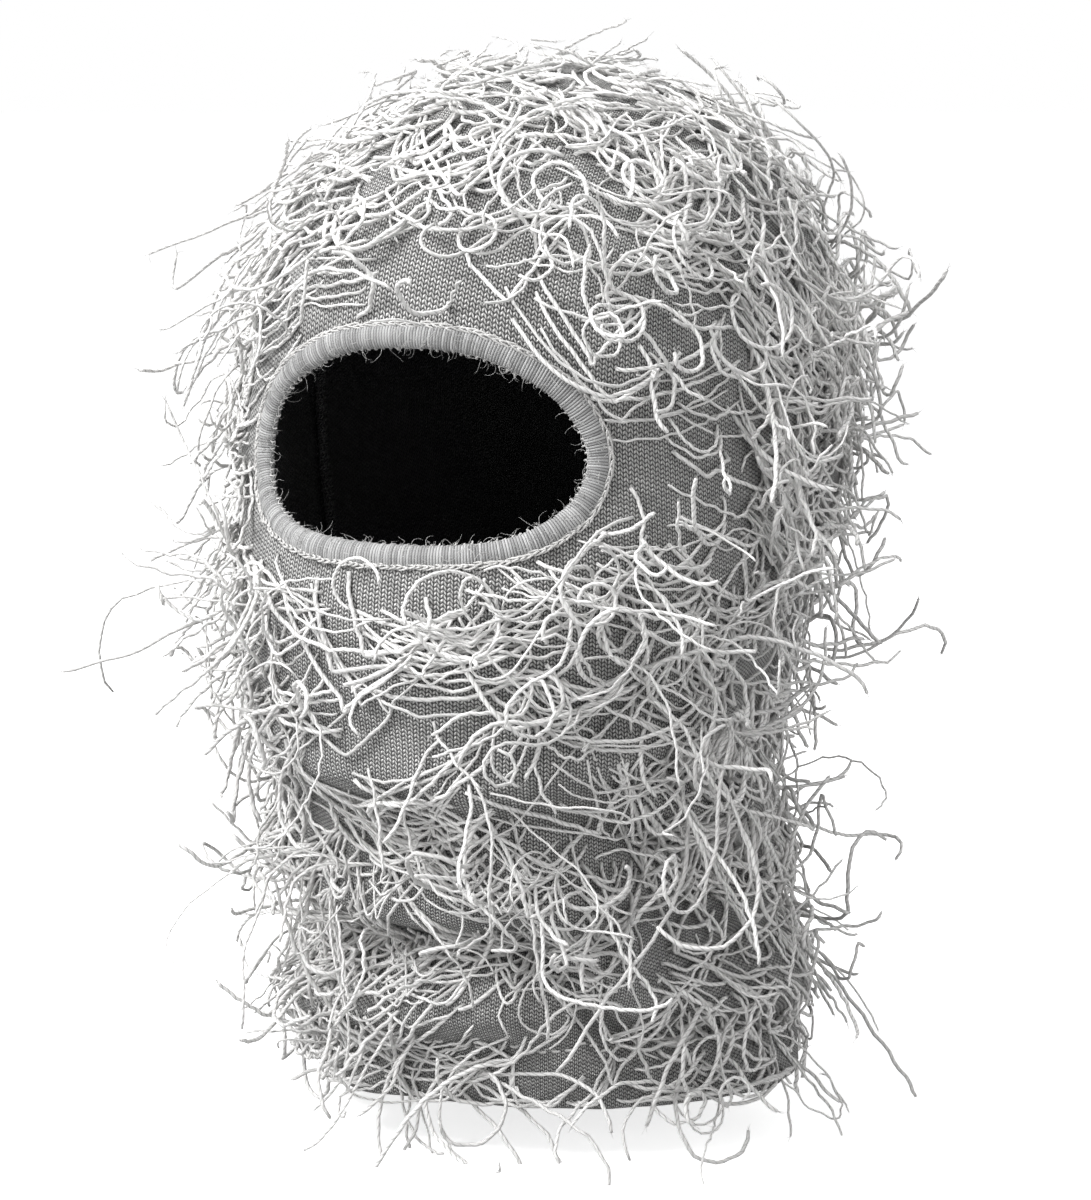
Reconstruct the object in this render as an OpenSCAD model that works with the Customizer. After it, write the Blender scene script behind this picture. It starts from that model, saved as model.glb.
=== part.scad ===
// Knitted full-face hood with one eye opening, covered all over with cut loose yarn.
// It is held as it sits on a head. The face looks along -Y, +Z is up, and the origin is
// the highest point of the inside of the crown, where the head bears. Millimetres.

/* [Knit] */
// Thickness of the knitted fabric
knit_t = 2; // [1:0.1:4]
// Height from the inside of the crown down to the hem
hood_h = 282; // [270:1:340]
// Clearance between two soft pieces that lie against each other
soft_gap = 0.3; // [0.1:0.1:1]

/* [Head] */
// Outside width at the eye line, side to side
head_w = 160; // [140:1:200]
// Outside length at the eye line, brow to back
head_l = 204; // [180:1:240]
// Eye line below the inside of the crown
eye_drop = 96; // [90:1:110]
// How far the middle of the eye line lies in front of the crown point
eye_fwd = 6; // [0:1:20]
// Roundness of the dome above the eye line
dome_power = 2.3; // [2:0.1:3]

/* [Face] */
// Nose line below the inside of the crown
nose_drop = 135; // [125:1:145]
// Outside width at the nose line
nose_w = 154; // [130:1:180]
// Outside length at the nose line
nose_l = 200; // [170:1:230]
// How far the middle of the nose line lies in front of the crown point
nose_fwd = 16; // [0:1:30]
// Mouth line below the inside of the crown
mouth_drop = 168; // [158:1:178]
// Outside width at the mouth line
mouth_w = 140; // [120:1:170]
// Outside length at the mouth line
mouth_l = 180; // [150:1:210]
// How far the middle of the mouth line lies in front of the crown point
mouth_fwd = 26; // [10:1:40]
// Chin line below the inside of the crown
chin_drop = 196; // [186:1:206]
// Outside width at the chin line
chin_w = 128; // [110:1:150]
// Outside length at the chin line
chin_l = 156; // [130:1:180]
// How far the middle of the chin line lies in front of the crown point
chin_fwd = 24; // [10:1:40]

/* [Neck] */
// Narrowest line of the neck below the inside of the crown
neck_drop = 220; // [212:1:228]
// Outside width at the neck line
neck_w = 124; // [100:1:140]
// Outside length at the neck line
neck_l = 137; // [110:1:160]
// How far the middle of the neck line lies in front of the crown point
neck_fwd = 12; // [0:1:25]
// Outside diameter of the round hem
hem_d = 144; // [130:1:180]
// How far the hem's axis lies in front of the crown point
hem_fwd = 4; // [0:1:20]
// Height of the turned-up hem
hem_h = 20; // [10:1:26]

/* [Eye opening] */
// Width of the opening, straight across
eye_w = 92; // [70:1:100]
// Height of the opening
eye_h = 51; // [35:1:60]
// Middle of the opening below the inside of the crown
eye_mid = 97; // [90:1:104]
// How far the ends of the opening hang below its middle
eye_droop = 4.5; // [0:0.5:8]
// Width of the thread-wrapped binding round the opening
bind_w = 7; // [5:0.5:10]
// Thickness of the binding
bind_t = 4.2; // [3:0.2:6]
// Thickness of the wrap of thread round the folded edge inside it
wrap_t = 0.8; // [0.5:0.1:1.2]
// Thread of the chain stitch and of the loops
stitch_d = 1; // [0.6:0.1:1.6]

/* [Seams] */
// Depth of the seam allowance that stands inwards
seam_w = 5; // [3:0.5:8]
// Thickness of the two layers of the seam allowance
seam_t = 2.4; // [1.5:0.1:4]
// Depth below the crown where the side seams meet the crown seam
seam_join = 30; // [20:1:50]

/* [Loose yarn] */
// Length of a tuft of loose yarn
tuft_l = 23; // [12:1:35]
// Thickness of a tuft at its root
tuft_d = 5.2; // [3:0.2:8]
// Thickness of a tuft at its cut end
tuft_tip = 1.8; // [1:0.2:3]
// Distance between tufts
tuft_pitch = 15; // [12:1:30]
// Angle between a tuft and the straight way out of the knit
tuft_lean = 40; // [20:1:60]
// The same angle for the tufts that hang from the hem
hem_lean = 58; // [45:1:70]

/* [Hidden] */

crown_z = knit_t;
eye_z = -eye_drop;
hem_top_z = hem_h - hood_h;

// How square an outline is: 2 is a plain ellipse.
plain = 2;
head_square = 2.2;
face_square = 2.25;
chin_square = 2.1;
eye_square = 2.35;

// One row per line round the head: height, half width, half length, place of the middle
// along Y, and how square the outline is.
LINES = [
  [eye_z, head_w / 2, head_l / 2, -eye_fwd, head_square],
  [-nose_drop, nose_w / 2, nose_l / 2, -nose_fwd, face_square],
  [-mouth_drop, mouth_w / 2, mouth_l / 2, -mouth_fwd, face_square],
  [-chin_drop, chin_w / 2, chin_l / 2, -chin_fwd, chin_square],
  [-neck_drop, neck_w / 2, neck_l / 2, -neck_fwd, plain],
  [hem_top_z, hem_d / 2, hem_d / 2, -hem_fwd, plain],
  [-hood_h, hem_d / 2, hem_d / 2, -hem_fwd, plain]
];
last_line = len(LINES) - 1;

around = 56;      // points round the knit
dome_rings = 11;  // rings from the crown to the eye line
body_rings = 26;  // rings from the eye line to the hem
edge_steps = 72;  // stations round the eye opening
cut_over = 1;     // how far a cutting form runs past what it cuts

function steepness(i, k) =
  i == 0 || i >= last_line - 1 ? 0
  : (LINES[i + 1][k] - LINES[i - 1][k]) / (LINES[i + 1][0] - LINES[i - 1][0]);

function line_above(z, i = 0) =
  i >= last_line - 1 || z >= LINES[i + 1][0] ? i : line_above(z, i + 1);

// Value k of the outline at height z, on a smooth curve through the rows of LINES.
function below_eye(z, k) =
  let (
    i = line_above(z),
    h = LINES[i + 1][0] - LINES[i][0],
    t = (z - LINES[i][0]) / h
  )
  (2 * t ^ 3 - 3 * t ^ 2 + 1) * LINES[i][k]
  + (t ^ 3 - 2 * t ^ 2 + t) * h * steepness(i, k)
  + (3 * t ^ 2 - 2 * t ^ 3) * LINES[i + 1][k]
  + (t ^ 3 - t ^ 2) * h * steepness(i + 1, k);

// Height on the dome, from 0 at the eye line to 1 at the crown, where the outline has
// shrunk to the share f, and the other way round.
function dome_share(f) = (1 - f ^ dome_power) ^ (1 / dome_power);

// Half width, half length, middle and squareness of the outline at height z, on a surface
// that lies inset inside the outside of the knit.
function outline(z, inset) =
  z > eye_z
  ? let (
      up = min(1, (z - eye_z) / (crown_z - inset - eye_z)),
      f = dome_share(up)
    )
    [
      (head_w / 2 - inset) * f, (head_l / 2 - inset) * f,
      -eye_fwd * (1 - up ^ 2), plain + (head_square - plain) * (1 - up)
    ]
  : let (y = max(z, -hood_h))
    [
      below_eye(y, 1) - inset, below_eye(y, 2) - inset,
      below_eye(y, 3), below_eye(y, 4)
    ];

// Point of that surface at angle a: 0 is the face, 90 the wearer's left, 180 the back.
function skin(a, z, inset = 0) =
  let (
    o = outline(z, inset),
    r = (abs(sin(a)) ^ o[3] + abs(cos(a)) ^ o[3]) ^ (-1 / o[3])
  )
  [o[0] * r * sin(a), o[2] - o[1] * r * cos(a), z];

// The straight way out of the knit there.
function outwards(a, z) =
  let (
    e = 0.5,
    s = skin(a + e, z) - skin(a - e, z),
    u = skin(a, z + e) - skin(a, z - e),
    n = cross(s, u)
  )
  n / norm(n);

function ring(z, inset) = [for (i = [0:around - 1]) skin(i * 360 / around, z, inset)];

// A closed form that fills the inside of the surface at that inset, down to bottom_z.
module form(inset, bottom_z) {
  top_z = crown_z - inset;
  dome_zs = [
    for (j = [1:dome_rings])
      eye_z + (top_z - eye_z) * dome_share(sin(90 * j / dome_rings))
  ];
  body_zs = [for (j = [1:body_rings]) eye_z + (bottom_z - eye_z) * j / body_rings];
  zs = concat(dome_zs, body_zs);
  rows = len(zs);
  points = concat([[0, 0, top_z]], [for (z = zs) each ring(z, inset)]);
  foot = [for (i = [0:around - 1]) 1 + (rows - 1) * around + i];
  polyhedron(
    points,
    concat(
      [for (i = [0:around - 1]) [0, 1 + (i + 1) % around, 1 + i]],
      [
        for (j = [0:rows - 2], i = [0:around - 1])
          let (
            a = 1 + j * around + i,
            b = 1 + j * around + (i + 1) % around
          )
          each [[a, b, a + around], [b, b + around, a + around]]
      ],
      [foot]
    )
  );
}

// ---- eye opening ----

// Height and width across of the opening's outline, grown outwards by grow.
function eye_oval(t, grow) =
  let (
    r = (abs(sin(t)) ^ eye_square + abs(cos(t)) ^ eye_square) ^ (-1 / eye_square),
    x = (eye_w / 2 + grow) * r * cos(t)
  )
  [
    x,
    (eye_h / 2 + grow) * r * sin(t) - eye_mid - eye_droop * (2 * x / eye_w) ^ 2
  ];

// Point of the face at width x and height z, on the surface at that inset.
function face(x, z, inset = 0) =
  let (o = outline(z, inset))
  [x, o[2] - o[1] * (1 - min(1, abs(x / o[0])) ^ o[3]) ^ (1 / o[3]), z];

function face_out(x, z) =
  let (
    e = 0.5,
    s = face(x + e, z) - face(x - e, z),
    u = face(x, z + e) - face(x, z - e),
    n = cross(s, u)
  )
  n / norm(n);

// A closed ring that carries a flat outline of points [across, out] round the opening.
module eye_ring(grow, inset, section) {
  sides = len(section);
  stations = [
    for (k = [0:edge_steps - 1])
      let (
        t = k * 360 / edge_steps,
        p = eye_oval(t, grow),
        q = eye_oval(t + 0.5, grow),
        here = face(p[0], p[1], inset),
        along = face(q[0], q[1], inset) - here,
        out = face_out(p[0], p[1]),
        across = cross(out, along / norm(along))
      )
      for (s = section) here + across * s[0] + out * s[1]
  ];
  count = edge_steps * sides;
  polyhedron(
    stations,
    [
      for (k = [0:edge_steps - 1], i = [0:sides - 1])
        let (
          a = k * sides + i,
          b = k * sides + (i + 1) % sides,
          c = (a + sides) % count,
          d = (b + sides) % count
        )
        each [[a, c, b], [b, c, d]]
    ]
  );
}

function oval(w, t, steps, from = 0, to = 360) =
  [for (i = [0:steps - 1]) let (a = from + (to - from) * i / steps) [w * cos(a), t * sin(a)]];

module eye_cut(grow) {
  rotate([90, 0, 0])
    linear_extrude(head_l)
      polygon([for (k = [0:edge_steps - 1]) eye_oval(k * 360 / edge_steps, grow)]);
}

// ---- knit ----

module half_space(side) {
  reach = 2 * head_l;
  translate([-reach, side < 0 ? -reach : 0, -reach])
    cube([2 * reach, reach, 2 * reach]);
}

// The two panels meet in one upright plane over the crown. resize() with no change of
// size keeps each cut skin as one closed surface.
module panel(side) {
  resize([0, 0, 0])
    intersection() {
      difference() {
        form(0, -hood_h);
        form(knit_t, -hood_h - cut_over);
        if (side < 0) eye_cut(bind_w + soft_gap);
      }
      half_space(side);
    }
}

module front_panel() {
  color("silver") panel(-1);
}

module back_panel() {
  color("darkgray") panel(1);
}

module hem_turnup() {
  r_out = hem_d / 2 - knit_t - soft_gap;
  color("gray")
    translate([0, -hem_fwd, -hood_h])
      rotate_extrude($fn = 96)
        translate([r_out - knit_t, 0])
          square([knit_t, hem_h]);
}

module hem_stitch() {
  from_edge = 2;
  color("whitesmoke")
    translate([0, -hem_fwd, hem_top_z - from_edge])
      rotate_extrude($fn = 96)
        translate([hem_d / 2 + stitch_d / 2, 0])
          circle(d = stitch_d, $fn = 16);
}

module seam_allowance() {
  resize([0, 0, 0])
    intersection() {
      difference() {
        form(knit_t + soft_gap, hem_top_z + soft_gap);
        form(knit_t + soft_gap + seam_w, hem_top_z - cut_over);
      }
      translate([-head_w, -seam_t / 2, -hood_h])
        cube([2 * head_w, seam_t, 2 * hood_h]);
      children();
    }
}

module side_seam(side) {
  seam_allowance()
    translate([side > 0 ? 0 : -head_w, -head_l, -hood_h])
      cube([head_w, 2 * head_l, hood_h - seam_join - soft_gap]);
}

module left_side_seam() {
  color("dimgray") side_seam(1);
}

module right_side_seam() {
  color("dimgray") side_seam(-1);
}

module crown_seam() {
  color("dimgray")
    seam_allowance()
      translate([-head_w, -head_l, -seam_join])
        cube([2 * head_w, 2 * head_l, 2 * seam_join]);
}

// ---- binding ----

// The wrap of thread is open on the side where the knit runs in.
module eye_binding() {
  mouth = 24;
  outside = oval(bind_w / 2, bind_t / 2, 11, mouth, 385 - mouth);
  inside = oval(bind_w / 2 - wrap_t, bind_t / 2 - wrap_t, 11, 360 - mouth, mouth - 25);
  color("lightgray")
    eye_ring(bind_w / 2, knit_t / 2, concat(outside, inside));
}

module eye_edge_roll() {
  less = wrap_t + soft_gap;
  color("gray")
    eye_ring(bind_w / 2, knit_t / 2, oval(bind_w / 2 - less, bind_t / 2 - less, 8));
}

module eye_chain_stitch() {
  lift = knit_t / 2 + stitch_d / 2 + soft_gap;
  beyond = bind_w + stitch_d / 2 + soft_gap;
  color("whitesmoke")
    eye_ring(beyond, knit_t / 2, [for (p = oval(stitch_d / 2, stitch_d / 2, 6)) p + [0, lift]]);
}

module eye_inner_loops() {
  within = -stitch_d / 2 - soft_gap;
  color("whitesmoke")
    eye_ring(within, knit_t / 2, oval(stitch_d / 2, stitch_d / 2, 6));
}

// ---- loose yarn ----

function down_the_knit(a, z) =
  let (n = outwards(a, z), s = [cos(a), sin(a), 0], d = cross(s, n))
  (d[2] > 0 ? -1 : 1) * d / norm(d);

module tuft(a, z, lean, length) {
  out = outwards(a, z);
  way = out * cos(lean) + down_the_knit(a, z) * sin(lean);
  root = skin(a, z) + out * (tuft_d / 2 * sin(lean) + soft_gap);
  translate(root)
    rotate([0, acos(way[2]), atan2(way[1], way[0])])
      cylinder(h = length, d1 = tuft_d, d2 = tuft_tip, $fn = 16);
}

// Is the knit at this point far enough from the opening for a tuft?
function clear_of_eye(a, z, room) =
  let (
    p = skin(a, z),
    x = p[0] / (eye_w / 2 + room),
    h = (z + eye_mid + eye_droop * (2 * p[0] / eye_w) ^ 2) / (eye_h / 2 + room)
  )
  cos(a) < 0 || abs(x) ^ eye_square + abs(h) ^ eye_square > 1;

function arc_length(z, from, to) =
  let (steps = 12, w = (to - from) / steps)
  [for (i = [1:steps]) norm(skin(from + i * w, z) - skin(from + (i - 1) * w, z))]
  * [for (i = [1:steps]) 1];

// One row of tufts at height z between two angles, moved along by a share of its pitch.
module tuft_row(z, from, to, shift, lean, length) {
  edge_room = bind_w + tuft_d + 3 * soft_gap;
  count = max(1, round(arc_length(z, from, to) / tuft_pitch));
  for (i = [0:count - 1]) {
    a = from + (i + shift) * (to - from) / count;
    if (clear_of_eye(a, z, edge_room)) tuft(a, z, lean, length);
  }
}

// Rows of tufts between two heights and two angles, each row half a pitch along.
module tufts(top_z, bottom_z, from, to, lean = tuft_lean, length = tuft_l) {
  rows = max(1, round((top_z - bottom_z) / tuft_pitch));
  for (j = [0:rows - 1])
    tuft_row(
      top_z - (j + 0.5) * (top_z - bottom_z) / rows, from, to,
      0.25 + 0.5 * (j % 2), lean, length
    );
}

brow_z = -28;
temple_z = -62;
cheek_z = -128;
back_z = -96;
nape_z = -147;
chin_z = -184;
throat_z = -206;
collar_top_z = -(neck_drop + 12);
face_edge = 50;      // angle from the face to where the sides begin
back_edge = 125;     // angle from the face to where the back begins
throat_l = 18;       // the tufts under the chin are shorter
crown_rows = [0.16, 0.34, 0.51, 0.66];  // shares of the head's width

module yarn() {
  color("gainsboro") children();
}

module crown_fringe() {
  yarn()
    for (j = [0:len(crown_rows) - 1])
      tuft_row(
        eye_z + (crown_z - eye_z) * dome_share(crown_rows[j]), 0, 360,
        0.25 + 0.5 * (j % 2), tuft_lean, tuft_l
      );
}

module brow_fringe() {
  yarn() tufts(brow_z, temple_z, -90, 90);
}

module left_temple_fringe() {
  yarn() tufts(temple_z, cheek_z, face_edge, back_edge);
}

module right_temple_fringe() {
  yarn() tufts(temple_z, cheek_z, -back_edge, -face_edge);
}

module upper_back_fringe() {
  yarn() {
    tufts(brow_z, temple_z, 90, 270);
    tufts(temple_z, back_z, back_edge, 360 - back_edge);
  }
}

module lower_back_fringe() {
  yarn() tufts(back_z, nape_z, back_edge, 360 - back_edge);
}

module nose_fringe() {
  yarn() tufts(cheek_z, -mouth_drop, -face_edge, face_edge);
}

module left_cheek_fringe() {
  yarn() tufts(cheek_z, chin_z, face_edge, back_edge);
}

module right_cheek_fringe() {
  yarn() tufts(cheek_z, chin_z, -back_edge, -face_edge);
}

module nape_fringe() {
  yarn() tufts(nape_z, collar_top_z, back_edge, 360 - back_edge);
}

module chin_fringe() {
  yarn() tufts(-mouth_drop, throat_z, -face_edge, face_edge, length = throat_l);
}

module throat_fringe() {
  yarn() tufts(throat_z, collar_top_z, -face_edge, face_edge, length = throat_l);
}

module left_neck_fringe() {
  yarn() tufts(chin_z, collar_top_z, face_edge, back_edge, length = throat_l);
}

module right_neck_fringe() {
  yarn() tufts(chin_z, collar_top_z, -back_edge, -face_edge, length = throat_l);
}

module collar_front_fringe() {
  yarn() tufts(collar_top_z, hem_top_z, -90, 90);
}

module collar_back_fringe() {
  yarn() tufts(collar_top_z, hem_top_z, 90, 270);
}

module hem_fringe(from, to) {
  yarn() tufts(hem_top_z - stitch_d * 4, -hood_h, from, to, hem_lean);
}

module hem_front_fringe() {
  hem_fringe(-90, 90);
}

module hem_back_fringe() {
  hem_fringe(90, 270);
}

front_panel();
back_panel();
hem_turnup();
hem_stitch();
left_side_seam();
right_side_seam();
crown_seam();
eye_binding();
eye_edge_roll();
eye_chain_stitch();
eye_inner_loops();
crown_fringe();
brow_fringe();
left_temple_fringe();
right_temple_fringe();
upper_back_fringe();
lower_back_fringe();
nose_fringe();
left_cheek_fringe();
right_cheek_fringe();
nape_fringe();
chin_fringe();
throat_fringe();
left_neck_fringe();
right_neck_fringe();
collar_front_fringe();
collar_back_fringe();
hem_front_fringe();
hem_back_fringe();
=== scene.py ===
"""A distressed knit balaclava: a heather grey knitted hood with one bound eye opening,
covered in cut two-ply yarn. Metres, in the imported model's frame: the face looks along -Y."""
import math

import bmesh
import bpy
import numpy as np
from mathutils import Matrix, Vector
from mathutils.bvhtree import BVHTree
from mathutils.kdtree import KDTree


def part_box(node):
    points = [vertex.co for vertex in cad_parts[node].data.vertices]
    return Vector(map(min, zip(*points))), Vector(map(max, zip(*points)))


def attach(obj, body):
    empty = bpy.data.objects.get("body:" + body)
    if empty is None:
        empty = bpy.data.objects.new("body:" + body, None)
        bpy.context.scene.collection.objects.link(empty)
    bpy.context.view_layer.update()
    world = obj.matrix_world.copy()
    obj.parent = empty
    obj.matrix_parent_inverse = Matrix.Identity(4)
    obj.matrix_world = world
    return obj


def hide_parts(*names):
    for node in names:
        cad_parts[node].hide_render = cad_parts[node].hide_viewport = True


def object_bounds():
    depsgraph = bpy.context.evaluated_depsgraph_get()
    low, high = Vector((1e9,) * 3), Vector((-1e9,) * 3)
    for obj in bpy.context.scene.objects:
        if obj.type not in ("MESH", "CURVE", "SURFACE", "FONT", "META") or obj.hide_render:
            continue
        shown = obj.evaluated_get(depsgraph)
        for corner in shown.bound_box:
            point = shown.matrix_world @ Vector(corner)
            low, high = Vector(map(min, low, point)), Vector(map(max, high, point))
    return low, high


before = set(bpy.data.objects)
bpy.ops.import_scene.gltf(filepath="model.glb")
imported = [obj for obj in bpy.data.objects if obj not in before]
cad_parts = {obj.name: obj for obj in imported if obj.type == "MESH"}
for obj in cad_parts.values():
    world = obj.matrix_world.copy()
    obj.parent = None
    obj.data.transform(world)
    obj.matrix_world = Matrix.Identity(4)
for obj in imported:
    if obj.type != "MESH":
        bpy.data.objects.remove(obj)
cad_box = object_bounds()

MM = 0.001
TURN = 2 * math.pi
ROOT = "root"
SEED = 41

# ---------------------------------------------------------------- places from the frame

PANELS = ("front_panel", "back_panel")
FRINGES = sorted(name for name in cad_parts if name.endswith("_fringe"))


def box(name):
    """A node's lowest and highest corners, as arrays."""
    low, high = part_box(name)
    return np.array(low), np.array(high)


HEM_Z = float(box("hem_turnup")[0][2])
CROWN_Z = float(box("front_panel")[1][2])
BIND_LOW, BIND_HIGH = box("eye_binding")
EYE_Z = float(BIND_LOW[2] + BIND_HIGH[2]) / 2
MIDDLE = Vector((0, -10 * MM, (HEM_Z + CROWN_Z) / 2 - 10 * MM))

# ---------------------------------------------------------------- camera and light


def camera():
    """A long lens about 1.2 m off, a little above the hood, round on its left side."""
    azimuth, elevation, distance = math.radians(23), math.radians(7.5), 1.2
    away = Vector((
        math.sin(azimuth) * math.cos(elevation),
        -math.cos(azimuth) * math.cos(elevation),
        math.sin(elevation),
    ))
    data = bpy.data.cameras.new("camera")
    data.sensor_width = 36
    data.lens = 125.4
    data.clip_start = 0.05
    data.clip_end = 20
    ob = bpy.data.objects.new("camera", data)
    ob.location = MIDDLE + away * distance
    ob.rotation_euler = away.to_track_quat("Z", "Y").to_euler()
    bpy.context.collection.objects.link(ob)
    bpy.context.scene.camera = ob


def area_light(name, place, size, power):
    """A soft square light that faces the middle of the hood."""
    data = bpy.data.lights.new(name, "AREA")
    data.shape = "SQUARE"
    data.size = size
    data.energy = power
    ob = bpy.data.objects.new(name, data)
    ob.location = MIDDLE + Vector(place)
    ob.rotation_euler = Vector(place).to_track_quat("Z", "Y").to_euler()
    bpy.context.collection.objects.link(ob)


# The sky's brightness by height: 0 is straight down, 0.5 level and 1 straight up.
SKY = ((0.465, 0.44), (0.49, 1.0), (0.54, 1.0), (0.59, 0.32))


def studio():
    """White light from all round above, a little from below, and a soft key from the front."""
    world = bpy.data.worlds.new("studio")
    world.use_nodes = True
    tree = world.node_tree
    place = tree.nodes.new("ShaderNodeTexCoord")
    parts = tree.nodes.new("ShaderNodeSeparateXYZ")
    ramp = tree.nodes.new("ShaderNodeValToRGB")
    stops = ramp.color_ramp.elements
    for number, (place_up, level) in enumerate(SKY):
        stop = stops[number] if number < 2 else stops.new(place_up)
        stop.position = place_up
        stop.color = (level, level, level, 1)
    height = tree.nodes.new("ShaderNodeMath")
    height.operation = "MULTIPLY_ADD"
    height.inputs[1].default_value = 0.5
    height.inputs[2].default_value = 0.5
    tree.links.new(place.outputs["Generated"], parts.inputs[0])
    tree.links.new(parts.outputs["Z"], height.inputs[0])
    tree.links.new(height.outputs[0], ramp.inputs[0])
    tree.links.new(ramp.outputs[0], tree.nodes["Background"].inputs["Color"])
    bpy.context.scene.world = world
    area_light("key", (-0.75, -1.0, 1.15), 0.6, 35)
    area_light("top", (0.1, -0.1, 1.6), 0.7, 14)
    area_light("front", (-0.6, -1.4, 0.0), 0.8, 11)
    area_light("side", (1.4, -0.5, 0.2), 0.8, 6)
    bpy.context.scene.view_settings.view_transform = "Standard"


# ---------------------------------------------------------------- shader maths


class Value:
    """A socket, so that sums on values read as sums and add their Math nodes."""

    def __init__(self, paint, socket):
        self.paint = paint
        self.socket = socket

    def maths(self, operation, *others):
        return self.paint.node(
            "ShaderNodeMath", {"operation": operation}, dict(enumerate((self, *others)))
        )

    def __add__(self, other):
        return self.maths("ADD", other)

    __radd__ = __add__

    def __sub__(self, other):
        return self.maths("SUBTRACT", other)

    def __rsub__(self, other):
        return self.paint.value(other).maths("SUBTRACT", self)

    def __mul__(self, other):
        return self.maths("MULTIPLY", other)

    __rmul__ = __mul__

    def __truediv__(self, other):
        return self.maths("DIVIDE", other)

    def __pow__(self, other):
        return self.maths("POWER", other)

    def __abs__(self):
        return self.maths("ABSOLUTE")

    def part(self):
        """What is left over whole numbers."""
        return self.maths("FRACT")

    def whole(self):
        """The whole number just below."""
        return self.maths("FLOOR")

    def sine(self):
        return self.maths("SINE")

    def held(self):
        """Kept between 0 and 1."""
        return self.paint.node(
            "ShaderNodeMath", {"operation": "ADD", "use_clamp": True}, {0: self, 1: 0.0}
        )

    def step(self, low, high):
        """0 up to low, 1 from high, smooth between."""
        return self.paint.node(
            "ShaderNodeMapRange",
            {"interpolation_type": "SMOOTHSTEP"},
            {"Value": self, "From Min": low, "From Max": high},
        )


class Paint:
    """One material's nodes."""

    def __init__(self, name):
        self.material = bpy.data.materials.new(name)
        self.material.use_nodes = True
        self.tree = self.material.node_tree
        self.tree.nodes.clear()

    def node(self, kind, settings=None, inputs=None, output=0):
        """Add a node, set and link it, and give back one of its outputs."""
        made = self.tree.nodes.new(kind)
        for key, setting in (settings or {}).items():
            setattr(made, key, setting)
        for key, given in (inputs or {}).items():
            socket = made.inputs[key]
            if isinstance(given, Value):
                self.tree.links.new(given.socket, socket)
            else:
                socket.default_value = given
        return Value(self, made.outputs[output])

    def value(self, number):
        return self.node("ShaderNodeMath", {"operation": "ADD"}, {0: number, 1: 0.0})

    def uv(self, name):
        """A UV layer's two values."""
        place = self.node("ShaderNodeUVMap", {"uv_map": name})
        parts = self.node("ShaderNodeSeparateXYZ", None, {0: place})
        across = Value(self, parts.socket.node.outputs[0])
        along = Value(self, parts.socket.node.outputs[1])
        return across, along

    def vector(self, x, y, z=0.0):
        return self.node("ShaderNodeCombineXYZ", None, {0: x, 1: y, 2: z})

    def noise(self, place, scale, detail=2.0, roughness=0.5):
        return self.node(
            "ShaderNodeTexNoise",
            None,
            {"Vector": place, "Scale": scale, "Detail": detail, "Roughness": roughness},
        )

    def chance(self, number):
        """A random share for each number."""
        return self.node("ShaderNodeTexWhiteNoise", {"noise_dimensions": "1D"}, {"W": number})

    def mix(self, share, low, high):
        """The colour low where share is 0, and high where it is 1."""
        return self.node(
            "ShaderNodeMix", {"data_type": "RGBA"}, {0: share, 6: low, 7: high}, output=2
        )

    def surface(self, colour, height=None, depth=0.0, **sockets):
        """The finished surface. height and depth, in metres, make its relief."""
        given = {"Base Color": colour, **{k.replace("_", " "): v for k, v in sockets.items()}}
        if height is not None:
            given["Normal"] = self.node(
                "ShaderNodeBump", None, {"Strength": 1.0, "Distance": depth, "Height": height}
            )
        shader = self.node("ShaderNodeBsdfPrincipled", None, given)
        out = self.tree.nodes.new("ShaderNodeOutputMaterial")
        self.tree.links.new(shader.socket, out.inputs["Surface"])
        return self.material


def grey(level, warmth=0.0):
    """A near-neutral colour, a little warm or cool."""
    return (level * (1 + warmth), level, level * (1 - 1.6 * warmth), 1.0)


WALE = 1.5 * MM      # from one column of stitches to the next
COURSE = 1.2 * MM    # from one row of stitches to the next
BIAS = 0.42          # how far the rows drop to the side, as slack jersey does


def knit_paint(name, light, dark, hole, relief=0.75 * MM):
    """Fine jersey knit: columns of V stitches in heather grey. UV runs in metres."""
    p = Paint(name)
    across, along = p.uv("Cloth")
    wander = p.noise(p.vector(across, along), 60.0)
    across = across + (wander - 0.5) * (0.5 * MM)
    column = across / WALE
    side = abs(column.part() - 0.5)
    row = (along + across * BIAS) / COURSE + side * 1.35
    leg = row.part()
    strand = 1 - abs((leg - 0.5) * 2.0) ** 1.6
    spine = side.step(0.0, 0.14)
    gutter = 1 - side.step(0.34, 0.5)
    height = strand * (0.35 + 0.65 * spine) * (0.15 + 0.85 * gutter)
    stitch = p.chance(column.whole() * 7.13 + row.whole() * 31.7)
    melange = p.noise(p.vector(across * 90.0, along * 700.0), 1.0, detail=3.0)
    cloud = p.noise(p.vector(across, along), 28.0)
    shade = (stitch * 0.45 + melange.step(0.36, 0.66) * 0.4 + cloud * 0.3 - 0.05).held()
    yarn = p.mix(shade, dark, light)
    # Where the stitch relief is low, the colour goes to hole: painted shade in the gaps between
    # the stitches.
    colour = p.mix(height.step(0.16, 0.78), hole, yarn)
    return p.surface(
        colour, height + stitch * 0.08, relief,
        Roughness=0.95, Sheen_Weight=0.25, Sheen_Roughness=0.5, Specular_IOR_Level=0.2,
    )


PLY = 2.6 * MM       # length of one turn of a yarn's twist


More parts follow.
